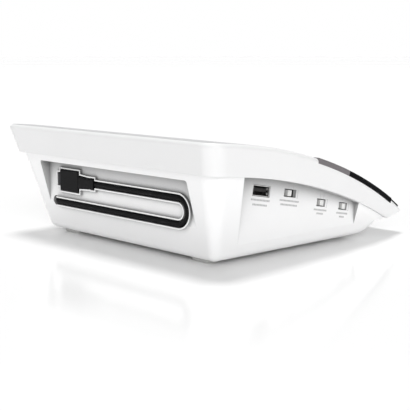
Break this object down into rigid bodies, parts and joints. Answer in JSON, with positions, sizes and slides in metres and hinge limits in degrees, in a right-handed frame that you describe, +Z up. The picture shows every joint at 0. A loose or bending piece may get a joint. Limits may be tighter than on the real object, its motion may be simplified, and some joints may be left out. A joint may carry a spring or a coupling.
{
  "type": "cable modem",
  "caption": "Desktop cable modem: drafted white case under an overhanging curved cover, black front panel, stowed captive lead in the rear bay, sockets and slide switches in side bays.",
  "frame": {"origin": "on the table, under the middle of the case's outline, level with the soles of the feet", "axes": "+Z up, -Y towards the low front edge, +Y out of the rear lead bay, -X out of the USB and switch bay"},
  "size_m": [0.1896, 0.1763, 0.0671],
  "materials": {
    "white_case": "satin moulded",
    "black_gloss": "high gloss",
    "smoked_lens": "smoked translucent",
    "pale_rubber": "matte",
    "steel": "zinc plated",
    "black_jacket": "satin",
    "ivory_nylon": "moulded",
    "dark_metal": "blackened",
    "black_plastic": "moulded",
    "grey_plastic": "moulded",
    "board_green": "solder mask",
    "chip_black": "moulded epoxy",
    "thermal_grey": "soft",
    "black_anodised": "anodised",
    "tin_plate": "tin plated",
    "capacitor_sleeve": "shrink sleeve",
    "ferrite": "sintered",
    "bright_metal": "bright plated",
    "gold": "gold flash",
    "white_knob": "moulded",
    "nickel": "nickel plated",
    "led_white": "encapsulated",
    "clear_plastic": "clear moulded"
  },
  "bodies": {
    "case": {"base_shell": "white_case", "board_screws": "steel", "cable": "black_jacket", "cable_grommet": "black_jacket", "capacitors": "capacitor_sleeve", "case_screws": "steel", "coax_connector": "nickel", "coax_insulator": "ivory_nylon", "coax_nut": "nickel", "crystal": "tin_plate", "ethernet_contacts": "gold", "ethernet_housing": "black_plastic", "ethernet_shield": "bright_metal", "ethernet_transformer": "black_plastic", "feet": "pale_rubber", "flash_chip": "chip_black", "front_panel": "black_gloss", "heat_sink": "black_anodised", "inductors": "ferrite", "lead_header": "ivory_nylon", "leds": "led_white", "light_board": "board_green", "light_board_screws": "steel", "light_pipes": "clear_plastic", "main_board": "board_green", "memory_chips": "chip_black", "plug_body": "black_jacket", "plug_insert": "black_plastic", "plug_shell": "dark_metal", "power_jack": "black_plastic", "power_pin": "nickel", "processor": "chip_black", "reset_switch": "black_plastic", "ribbon_cable": "ivory_nylon", "ribbon_sockets": "ivory_nylon", "status_lens": "smoked_lens", "strain_relief": "black_jacket", "switch_1_body": "black_plastic", "switch_2_body": "grey_plastic", "switch_3_body": "grey_plastic", "thermal_pad": "thermal_grey", "top_cover": "white_case", "tuner_shield": "tin_plate", "usb_contacts": "gold", "usb_insulator": "grey_plastic", "usb_shell": "bright_metal"},
    "switch_1_slider": {"switch_1_knob": "white_knob"},
    "switch_2_slider": {"switch_2_knob": "white_knob"},
    "switch_3_slider": {"switch_3_knob": "white_knob"},
    "reset_plunger": {"reset_button": "grey_plastic"}
  },
  "joints": [
    {"name": "switch_1_slide", "type": "slide", "parent": "case", "child": "switch_1_slider", "axis": [0, 0.9839, 0.1788], "range_m": [-0.0026, 0.0026]},
    {"name": "switch_2_slide", "type": "slide", "parent": "case", "child": "switch_2_slider", "axis": [0, 0.9839, 0.1788], "range_m": [0, 0.0023]},
    {"name": "switch_3_slide", "type": "slide", "parent": "case", "child": "switch_3_slider", "axis": [0, 0.9839, 0.1788], "range_m": [0, 0.0023]},
    {"name": "reset_press", "type": "slide", "parent": "case", "child": "reset_plunger", "axis": [-1, 0, 0], "range_m": [0, 0.0004], "stiffness_N_per_m": 300, "springref_m": -0.001}
  ]
}
